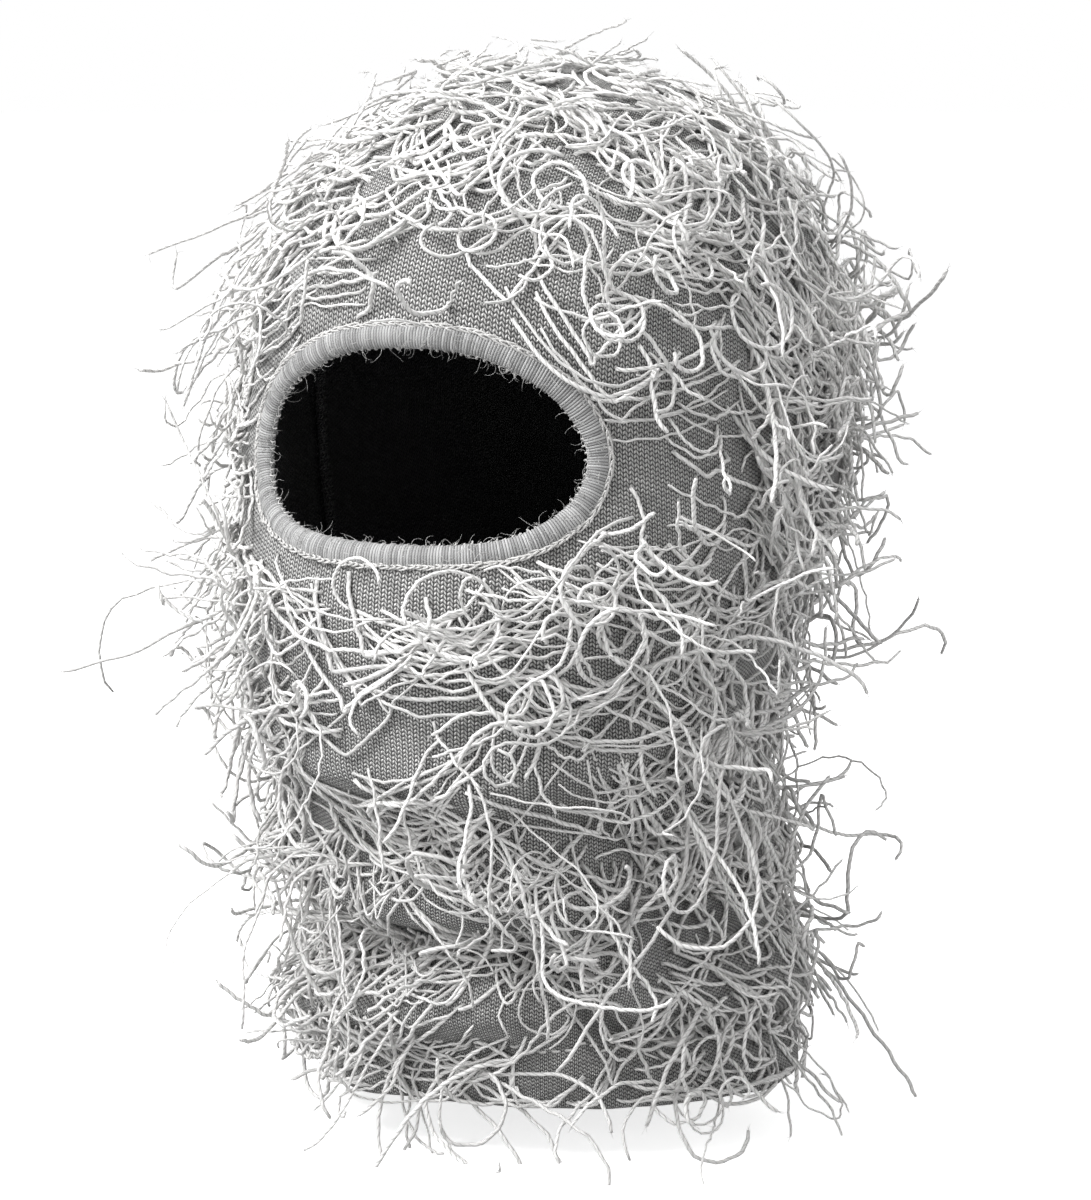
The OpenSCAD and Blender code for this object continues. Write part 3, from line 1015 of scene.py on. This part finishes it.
def hem_stitches(material):
    """Short stitches through both plies, seen as dashes on the outside."""
    rng = np.random.default_rng(SEED + 5)
    count = 130
    steps = 7
    t = np.linspace(-0.5, 0.5, steps)
    middle = (np.arange(count) + 0.08 * rng.normal(size=count)) / count * form.COLUMNS
    column = middle[:, None] + t * 0.72 * form.COLUMNS / count
    row = np.full(column.shape, form.HEM - 16.5 * MM / form.drop)
    row += 0.5 * rng.normal(size=(count, 1))
    skin = form.place(row, column)
    normal = form.sample(form.normals, row, column)
    lift = (0.35 - 2.2 * (2 * t) ** 6) * MM
    return cords("hem_stitches", skin + normal * lift[:, None], 0.42 * MM, 6, material)


# ---------------------------------------------------------------- loose yarn

YARN_R = 0.53 * MM    # radius of the yarn before it swells or thins
NECK_Z = -175         # top of the neck, in millimetres
PATCH_ROWS, PATCH_COLUMNS = 12, 20    # patches that are given their yarn one by one
EYE_CLEAR = 5.5 * MM  # no yarn starts nearer than this to the binding's middle line
SWELL = (0.58, 1.24)  # thinnest and thickest yarn, for the radius above
FIBRE_R = 0.075 * MM  # radius of a fine fibre at its root
FACE_ANGLE, FACE_TOP = 55, -122       # the face below the eyes, in degrees and millimetres
SWEPT = 0.78          # share of the face's bunches that run sideways
ANYHOW = 0.6          # share of the crown's bunches that run any way at all
PRESS = 0.58          # share of the yarn's height that is pressed out on the crown
PRESS_Z, PRESS_FADE = -32, 12         # where half the press is left, and how fast it fades

# Where the yarn lies thick: angle, height, spread in degrees, spread in height, amount.
THICK = (
    (0, 8, 180, 9, 0.9),
    (0, -8, 180, 18, 0.8),
    (35, -26, 30, 12, 0.6),
    (-30, -20, 26, 12, 0.7),
    (95, -70, 26, 40, 0.8),
    (62, -118, 15, 24, 0.8),
    (-44, -92, 13, 34, 1.3),
    (24, -50, 12, 10, 0.5),
    (150, -90, 50, 60, 0.5),
    (-120, -90, 50, 60, 0.6),
    (8, -134, 46, 8, 1.5),
    (30, -162, 34, 11, 0.9),
    (66, -84, 18, 26, 1.1),
    (40, -36, 30, 16, 0.8),
    (30, -56, 16, 8, 0.5),
    (-34, -44, 16, 12, 0.9),
    (14, -68, 16, 6, 0.5),
    (20, -126, 26, 5, 0.8),
    (26, -156, 20, 8, 1.0),
    (-36, -160, 20, 26, 0.8),
    (6, -207, 40, 7, 1.3),
    (50, -178, 22, 9, 1.0),
    (84, -205, 22, 12, 0.9),
    (100, -160, 20, 14, 0.6),
    (72, -244, 30, 10, 0.8),
    (-28, -240, 30, 12, 1.0),
    (16, -266, 40, 6, 0.7),
    (180, -190, 60, 40, 0.5),
    (180, -46, 75, 30, 0.8),
    (0, -287, 180, 7, 2.2),
)
# Where the knit is nearly bare.
BARE = (
    (-4, -50, 12, 8), (44, -108, 7, 10),
    (30, -146, 9, 7), (13, -180, 17, 10), (2, -158, 13, 7), (42, -227, 16, 12),
    (14, -248, 18, 9), (-25, -192, 12, 9), (-14, -272, 14, 6),
    (64, -158, 10, 9), (40, -196, 12, 7), (-8, -222, 14, 6), (90, -128, 10, 9),
)


def thickness(angle, z):
    """How thick the yarn lies at an angle in degrees and a height in millimetres."""
    out = np.full(np.shape(z), 0.55)
    for at, level, wide, tall, amount in THICK:
        off = turned(angle, at)
        out += amount * np.exp(-((off / wide) ** 2) - ((z - level) / tall) ** 2)
    for at, level, wide, tall in BARE:
        off = turned(angle, at)
        out *= 1 - 0.8 * np.exp(-((off / wide) ** 4) - ((z - level) / tall) ** 4)
    return out


def anchors(rng, count, power=1.0, neck=1.0):
    """Rows and columns for yarn to start from, spread by how thick the yarn lies.

    neck is how much of this kind lies on the neck and collar for what lies above."""
    across = np.linalg.norm(np.roll(form.points, -1, axis=1) - form.points, axis=-1)[:-1]
    down = np.linalg.norm(np.diff(form.points, axis=0), axis=-1)
    z = form.points[:-1, :, 2] / MM
    angle = np.broadcast_to(np.arange(form.COLUMNS) * 360 / form.COLUMNS, z.shape)
    weight = across * down * thickness(angle, z) ** power
    weight = weight * np.clip(0.9 + relief[:-1] / (14 * MM), 0.45, 1.6)
    outside = np.ones(z.shape, bool)
    near = (form.points[:-1, :, 1] < 0) & (abs(z - EYE_Z / MM) < 45)
    near &= abs(form.points[:-1, :, 0]) < 70 * MM
    outside[near] = opening.reach_out(form.points[:-1][near]) > EYE_CLEAR
    weight = weight * outside * np.where(z < NECK_Z, neck, 1.0)
    weight[:4] *= 0.6
    rows, columns = np.indices(z.shape)
    patch = rows // PATCH_ROWS * form.COLUMNS + columns // PATCH_COLUMNS
    order = np.argsort(patch.ravel(), kind="stable")
    gone = np.cumsum(weight.ravel()[order])
    share = (np.arange(count) + rng.uniform(size=count)) / count
    pick = order[np.searchsorted(gone / gone[-1], share)]
    row, column = np.divmod(pick, form.COLUMNS)
    return row + rng.uniform(size=count), column + rng.uniform(size=count)


def directions(row, column):
    """The way across and the way down the hood, and off it, at rows and columns."""
    normal = form.normal(row, column)
    across = -unit(np.cross(normal, np.array([0, 0, 1.0]) + 1e-6))
    down = unit(np.cross(across, normal))
    down = np.where(down[:, 2:] > 0, -down, down)
    return across, down, normal


def grow(rng, foot, way, length, steps, height, curl, bend, droop, kink, cling):
    """Strands that run from foot along way, turn, droop and keep off the knit.

    curl is a strand's even turning and bend is what comes and goes along it. The tips hook.
    cling is how hard the strands are drawn to their height off the knit."""
    count = len(foot)
    step = (length / (steps - 1))[:, None]
    paths = np.empty((count, steps, 3))
    spot, ahead = foot.copy(), way.copy()
    shake = rng.normal(size=(count, 3))
    hook = rng.normal(size=count) * 120
    for k in range(steps):
        paths[:, k] = spot
        row, column, up = form.find(spot)
        normal = form.normal(row, column)
        share = k / (steps - 1)
        want = height * math.sin(math.pi * min(0.15 + share * 0.75, 1))
        shake = 0.75 * shake + 0.66 * rng.normal(size=(count, 3))
        turning = curl + bend[:, 0] * np.sin(share * bend[:, 1] + bend[:, 2])
        turning = turning + hook * share ** 2
        ahead = ahead + np.cross(normal, ahead) * turning[:, None] * step
        ahead = ahead + shake * kink[:, None] * step
        ahead = ahead - np.array([0, 0, 1.0]) * droop[:, None] * step
        ahead = ahead + normal * ((want - up) * cling)[:, None] * step
        ahead = unit(ahead)
        spot = spot + ahead * step
        row, column, up = form.find(spot)
        spot = spot + normal * np.maximum(1.05 * YARN_R - up, 0)[:, None]
    return paths


def crimped(rng, paths):
    """Paths with the small waves that yarn keeps from having been knitted."""
    count, steps, _ = paths.shape
    ahead = unit(np.gradient(paths, axis=1))
    side = unit(np.cross(ahead, unit(rng.normal(size=(count, 1, 3)))))
    gone = np.cumsum(np.linalg.norm(np.diff(paths, axis=1, prepend=paths[:, :1]), axis=2), axis=1)
    out = paths.copy()
    for way in (side, np.cross(ahead, side)):
        size = rng.uniform(0.05, 0.42, (count, 1)) * MM
        wave = rng.uniform(5, 13, (count, 1)) * MM
        swing = size * np.sin(gone / wave * TURN + rng.uniform(0, TURN, (count, 1)))
        out += way * (swing * np.minimum(gone / (4 * MM), 1))[..., None]
    return out


def within(paths):
    """Paths eased back so that they stay inside the hood's own box and its allowance."""
    low, high = (np.array(corner) for corner in cad_box)
    room = 0.03 * (high - low) + 9 * MM
    middle, half = (low + high) / 2, (high - low) / 2 + room
    off = (paths - middle) / half
    size = np.abs(off)
    soft = 0.9
    eased = soft + (1 - soft) * (1 - np.exp(-(size - soft) / (1 - soft)))
    return middle + np.sign(off) * np.where(size > soft, eased, size) * half


def clusters(rng, count, per, neck=1.0):
    """Anchors in bunches: the row and column of each strand and its bunch's number."""
    row, column = anchors(rng, count, neck=neck)
    many = np.clip(rng.poisson(per, count), 1, 14)
    bunch = np.repeat(np.arange(count), many)
    spread = rng.uniform(0.6, 3.2, count)[bunch]
    row = np.clip(row[bunch] + spread * rng.normal(size=len(bunch)), 1, form.HEM - 1)
    column = column[bunch] + spread * rng.normal(size=len(bunch))
    return row, column, bunch


def rooted(rng, count, per, neck=1.0):
    """Bunched strands: row, column, bunch, foot, and the ways across, down and off."""
    row, column, bunch = clusters(rng, count, per, neck)
    return row, column, bunch, form.place(row, column), directions(row, column)


def set_off(ways, lean, lift):
    """The way strands leave the knit: lean turns them from down, and lift raises them."""
    across, down, normal = ways
    return unit(
        across * np.sin(lean)[:, None] + down * np.cos(lean)[:, None]
        + normal * np.reshape(lift, (-1, 1))
    )


def waves(rng, count, size):
    """Turning that comes and goes: its size, its rate and where it starts."""
    return np.stack([
        size * rng.normal(size=count), rng.uniform(2, 8, count), rng.uniform(0, TURN, count)
    ], -1)


def on_face(row, column):
    """Which places lie on the front below the eyes."""
    angle = (column / form.COLUMNS * 360 + 180) % 360 - 180
    z = form.place(row, column)[:, 2] / MM
    return (abs(angle) < FACE_ANGLE) & (z < FACE_TOP)


def heading(rng, row, column):
    """Which way each bunch runs: 0 is down, and its sign is the side it leans to."""
    z = form.place(row, column)[:, 2] / MM
    count = len(row)
    level = rng.normal(1.3, 0.32, count)
    hanging = np.abs(rng.normal(0, 0.75, count))
    anyhow = rng.uniform(0, math.pi, count)
    lean = np.where(on_face(row, column) & (rng.uniform(size=count) < SWEPT), level, hanging)
    lean = np.where((z > -45) & (rng.uniform(size=count) < ANYHOW), anyhow, lean)
    return lean * rng.choice([-1, 1], count)


def cut_strands(rng):
    """Yarn held at one end, in fans and bunches that wave and hook."""
    row, column, bunch, foot, ways = rooted(rng, 400, 3.0, 0.62)
    count, bunches = len(bunch), bunch.max() + 1
    first = np.searchsorted(bunch, np.arange(bunches))
    fan = (rng.uniform(0.04, 0.65, bunches) ** 1.3)[bunch]
    lean = heading(rng, row[first], column[first])[bunch] + fan * rng.normal(size=count)
    lift = rng.uniform(0.1, 0.6, bunches)[bunch] + 0.12 * rng.normal(size=count)
    way = set_off(ways, lean, lift)
    swept = on_face(row, column)
    low = foot[:, 2] < NECK_Z * MM
    length = rng.gamma(9, 3.9, bunches)[bunch] * rng.uniform(0.6, 1.35, count)
    length = length * np.where(swept, 1.2, 1.0) * np.where(low, 1.25, 1.0) * MM
    curl = rng.normal(size=bunches)[bunch] * np.where(swept, 40, 44)
    curl = curl + rng.normal(size=count) * 11
    bend = waves(rng, bunches, 72)[bunch] + waves(rng, count, 13) * np.array([1, 0, 0])
    bend[:, 0] *= np.where(swept, 0.9, 1.0)
    height = (np.abs(rng.normal(size=bunches))[bunch] * 2.3 + 0.8) * MM
    height = height + np.abs(rng.normal(size=count)) * 1.2 * MM
    height = height * np.where(foot[:, 2] > -30 * MM, 0.6, 1.0) + np.where(low, 2 * MM, 0)
    droop = rng.uniform(0, 12, count)
    kink = rng.uniform(6, 34, count) * np.where(low, 0.5, 1.0)
    paths = grow(rng, foot, way, length, 20, height, curl, bend, droop, kink, 900.0)
    return paths, row, column


def curls(rng):
    """Ends that wind round on themselves."""
    row, column, bunch, foot, ways = rooted(rng, 300, 1.6, 1.3)
    count = len(bunch)
    way = set_off(ways, rng.uniform(-math.pi, math.pi, count), 0.3)
    length = rng.uniform(28, 66, count) * MM
    curl = rng.choice([-1, 1], count) / (rng.uniform(6.5, 16, count) * MM)
    height = rng.uniform(1.2, 5.5, count) * MM
    droop = rng.uniform(0, 6, count)
    kink = rng.uniform(8, 26, count)
    bend = waves(rng, count, 30)
    paths = grow(rng, foot, way, length, 26, height, curl, bend, droop, kink, 1200.0)
    return paths, row, column


def flyaways(rng):
    """Single ends that stand well off the hood."""
    row, column, bunch, foot, ways = rooted(rng, 180, 1.3)
    count = len(bunch)
    lean = rng.uniform(-2.2, 2.2, count)
    way = set_off(ways, lean, rng.uniform(0.6, 1.8, count))
    length = rng.uniform(14, 36, count) * MM
    curl = rng.normal(size=count) * 40
    height = rng.uniform(4, 11, count) * MM
    droop = rng.uniform(0, 18, count)
    kink = rng.uniform(10, 36, count)
    bend = waves(rng, count, 50)
    paths = grow(rng, foot, way, length, 20, height, curl, bend, droop, kink, 220.0)
    return paths, row, column


def laid(rows, columns, rise):
    """Places over the knit at rows and columns, raised off it."""
    rows = np.clip(rows, 1, form.HEM - 0.5)
    normal = form.normal(rows, columns)
    return form.place(rows, columns) + normal * rise[..., None]


def floats(rng):
    """Uncut yarn held at both ends, in ladders of near-level arcs."""
    ladders = 280
    row, column = anchors(rng, ladders, 1.4, 1.1)
    many = rng.integers(2, 8, ladders)
    ladder = np.repeat(np.arange(ladders), many)
    rung = np.concatenate([np.arange(m) for m in many])
    count = len(ladder)
    pitch = rng.uniform(1.6, 3.4, ladders)[ladder]
    wide = rng.uniform(8, 30, ladders)[ladder] * rng.uniform(0.7, 1.2, count)
    tilt = 0.12 * rng.normal(size=ladders)[ladder] + 0.05 * rng.normal(size=count)
    sag = rng.uniform(1, 9, ladders)[ladder] * rng.uniform(0.5, 1.4, count)
    hump = rng.uniform(0.8, 5.0, ladders)[ladder] * rng.uniform(0.5, 1.3, count) * MM
    steps = 16
    t = np.linspace(0, 1, steps)
    rows = (row[ladder] + rung * pitch)[:, None] + (tilt * wide)[:, None] * (t - 0.5) * 2
    rows = rows + sag[:, None] * np.sin(math.pi * t) ** 0.9
    cols = (column[ladder] + rng.normal(size=count))[:, None] + wide[:, None] * (t - 0.5)
    rise = 0.7 * YARN_R + hump[:, None] * np.sin(math.pi * t) ** 0.6
    shake = np.cumsum(rng.normal(size=(count, steps, 3)), axis=1) * 0.22 * MM
    shake = shake - shake[:, -1:] * t[:, None]
    return laid(rows, cols, rise) + shake, row[ladder], column[ladder]


def loops(rng):
    """Slack loops held at both ends, that lie any way and sag below their feet."""
    row, column, bunch = clusters(rng, 330, 2.1, 1.5)
    count, bunches = len(bunch), bunch.max() + 1
    steps = 20
    t = np.linspace(0, 1, steps)
    lean = (rng.normal(math.pi / 2, 0.5, bunches) * rng.choice([-1, 1], bunches))[bunch]
    lean = lean + 0.22 * rng.normal(size=count)
    span = rng.uniform(5, 18, bunches)[bunch] * rng.uniform(0.8, 1.25, count)
    slack = rng.uniform(0.35, 1.5, bunches)[bunch] * rng.uniform(0.8, 1.2, count)
    sway = rng.uniform(-0.7, 0.7, count)
    arch = np.sin(math.pi * t) ** 0.75
    along = (t - 0.5) * 2 + 0.22 * np.sin(TURN * t) * slack[:, None]
    drop = arch * slack[:, None] * span[:, None] * 0.9
    shift = span[:, None] * along + sway[:, None] * drop
    cols = column[:, None] + shift * np.sin(lean)[:, None]
    rows = row[:, None] + shift * np.cos(lean)[:, None] * 0.6 + drop
    hump = rng.uniform(1.0, 5.5, bunches)[bunch] * rng.uniform(0.6, 1.3, count) * MM
    rise = 0.7 * YARN_R + hump[:, None] * np.sin(math.pi * t) ** 0.8
    return laid(rows, cols, rise), row, column


def settled(paths):
    """Paths pressed flatter towards the top, where the yarn lies close to the knit."""
    row, column, up = form.find(paths)
    z = paths[..., 2] / MM
    press = PRESS / (1 + np.exp(-(z - PRESS_Z) / PRESS_FADE))
    _, way = form.rays(row, column)
    return paths - way * (np.maximum(up - YARN_R, 0) * press)[..., None]


def clear_of_opening(paths):
    """Which strands stay off the eye opening."""
    low, high = BIND_LOW - 3 * MM, BIND_HIGH + 3 * MM
    inside = (paths[..., 0] > low[0]) & (paths[..., 0] < high[0])
    inside &= (paths[..., 2] > low[2]) & (paths[..., 2] < high[2]) & (paths[..., 1] < 0)
    inner = np.zeros(inside.shape, bool)
    inner[inside] = opening.reach_out(paths[inside]) < 1.5 * MM
    return ~inner.any(axis=1)


def fuzz(rng, paths, cut):
    """Fine fibres off the strands, and frayed tips on the ones that are cut."""
    count, steps, _ = paths.shape
    ahead = unit(np.gradient(paths, axis=1))
    pick = rng.integers(1, steps - 1, (count, 2))
    who = np.arange(count)[:, None]
    feet, ways = [paths[who, pick].reshape(-1, 3)], [ahead[who, pick].reshape(-1, 3)]
    spread, reach = [1.0], [(0.8, 2.6)]
    if cut:
        feet.append(np.repeat(paths[:, -1], 3, axis=0))
        ways.append(np.repeat(ahead[:, -1], 3, axis=0))
        spread.append(0.38)
        reach.append((1.0, 2.8))
    for foot, way, wide, (short, far) in zip(feet, ways, spread, reach):
        many = len(foot)
        way = unit(way + wide * rng.normal(size=(many, 3)))
        bend = np.cross(way, rng.normal(size=(many, 3))) * 0.5
        t = np.linspace(0, 1, 3)[:, None]
        length = rng.uniform(short, far, (many, 1, 1)) * MM
        yield foot[:, None] + length * (way[:, None] * t + bend[:, None] * t ** 2 * 0.5)


def fringe(material):
    """All the loose yarn, one piece for each zone of the hood."""
    tree_size = sum(len(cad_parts[name].data.vertices) for name in FRINGES)
    tree = KDTree(tree_size)
    zone_of = []
    for zone, name in enumerate(FRINGES):
        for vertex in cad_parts[name].data.vertices:
            tree.insert(vertex.co, len(zone_of))
            zone_of.append(zone)
    tree.balance()
    rng = np.random.default_rng(SEED + 9)
    made = [cut_strands(rng), curls(rng), flyaways(rng), loops(rng), floats(rng)]
    cut_kinds = 3
    heaps = {name: [] for name in FRINGES}
    number = 0
    for kind in reversed(range(len(made))):
        paths, row, column = made[kind]
        paths = within(settled(crimped(rng, paths)))
        stay = clear_of_opening(paths)
        paths = paths[stay]
        foot = form.place(row[stay], column[stay])
        zone = np.array([zone_of[tree.find(p)[1]] for p in foot])
        swell = rng.uniform(*SWELL, (len(paths), 1))
        steps = paths.shape[1]
        taper = np.ones(steps)
        taper[-1] = 0.82
        for at, name in enumerate(FRINGES):
            mine = paths[zone == at]
            if len(mine):
                radii = YARN_R * swell[zone == at] * taper
                heaps[name].append(tubes(mine, radii, 6, number))
                number += len(mine)
                for fibres in fuzz(rng, mine, kind < cut_kinds):
                    thin = np.linspace(1, 0.4, fibres.shape[1]) * FIBRE_R
                    thin = thin * np.ones((len(fibres), 1))
                    heaps[name].append(tubes(fibres, thin, 4, number))
                    number += len(fibres)
    pieces = {}
    for name, parts in heaps.items():
        start = 0
        faces = []
        for points, quads, _ in parts:
            faces.append(quads + start)
            start += len(points)
        pieces[name] = piece(
            name.replace("_fringe", "_yarn"), np.concatenate([p[0] for p in parts]),
            np.concatenate(faces), material, "Strand", np.concatenate([p[2] for p in parts]),
        )
    return pieces


# ---------------------------------------------------------------- putting it together


def floor():
    """A white floor just under the lowest yarn."""
    level = cad_box[0][2] - 4 * MM
    size = 60.0
    places = [(x * size, y * size, level) for x, y in ((-1, -1), (1, -1), (1, 1), (-1, 1))]
    p = Paint("white_floor")
    p.surface(grey(0.9), Roughness=0.9, Emission_Color=(1, 1, 1, 1), Emission_Strength=0.75)
    ob = piece("floor", places, [(0, 1, 2, 3)], p.material)
    ob.visible_diffuse = False
    ob.visible_glossy = False


def dress(ob, slot, *nodes):
    """Ride on the body and stand for CAD nodes. The slot argument is not used."""
    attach(ob, ROOT)
    if nodes:
        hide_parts(*nodes)
    return ob


camera()
studio()
floor()

knit = knit_paint("heather_knit", grey(0.82, 0.008), grey(0.41, 0.008), grey(0.06, 0.008))
hem_knit = knit_paint("hem_knit", grey(0.58), grey(0.34), grey(0.10))
# The knit's reverse is painted near-black: painted shade for the hood's dark inside, not the
# knit's own colour.
painted_shade_inside_knit = knit_paint("knit_reverse_painted_shade", grey(0.09), grey(0.04), grey(0.02))
# The seam allowances inside are painted near-black: painted shade, like the knit's reverse, not
# the knit's own colour.
seam_knit = knit_paint("seam_knit", grey(0.12), grey(0.07), grey(0.03))
wrap = wrap_paint("wrap_thread", grey(0.56), grey(0.12))
stitch = thread_paint("stitch_thread", grey(0.72, 0.01), grey(0.42, 0.01))
# The seam thread inside is painted dark too: painted shade for the hood's dark inside.
seam_thread = thread_paint("seam_thread", grey(0.16), grey(0.08))
yarn = yarn_paint("loose_yarn", grey(0.92, 0.008), grey(0.50, 0.008), grey(0.50, 0.008))

quarter = form.COLUMNS // 4
front = panel("front_panel_knit", -quarter, quarter, knit, painted_shade_inside_knit)
back = panel("back_panel_knit", quarter, 3 * quarter, knit, painted_shade_inside_knit)
hem = hem_ply(hem_knit)
dress(front, "knit", "front_panel")
dress(back, "knit", "back_panel")
dress(hem, "hem_knit", "hem_turnup")
dress(hem_stitches(stitch), "stitch_thread", "hem_stitch")

lower_rows = np.arange(form.TOP // 3, form.HEM - 28)
crown_rows = np.arange(form.TOP // 3, 4, -1)
for name, lines in (
    ("left_side_seam", ((lower_rows, quarter),)),
    ("right_side_seam", ((lower_rows, 3 * quarter),)),
    ("crown_seam", ((crown_rows, quarter), (crown_rows[::-1], 3 * quarter))),
):
    cloth, thread = seam(name, lines, seam_knit, seam_thread)
    dress(cloth, "seam_knit", name)
    dress(thread, "stitch_thread")

dress(binding(wrap), "wrap_thread", "eye_binding")
dress(edge_roll(knit), "knit", "eye_edge_roll")
dress(chain_stitch(stitch), "stitch_thread", "eye_chain_stitch")
dress(inner_loops(stitch), "stitch_thread", "eye_inner_loops")
dress(eye_fuzz(stitch), "stitch_thread")

strands = fringe(yarn)
for name, ob in strands.items():
    dress(ob, "loose_yarn", name)

zones_front = [strands[n] for n in strands if "back" not in n and "nape" not in n]
zones_back = [strands[n] for n in strands if "back" in n or "nape" in n]
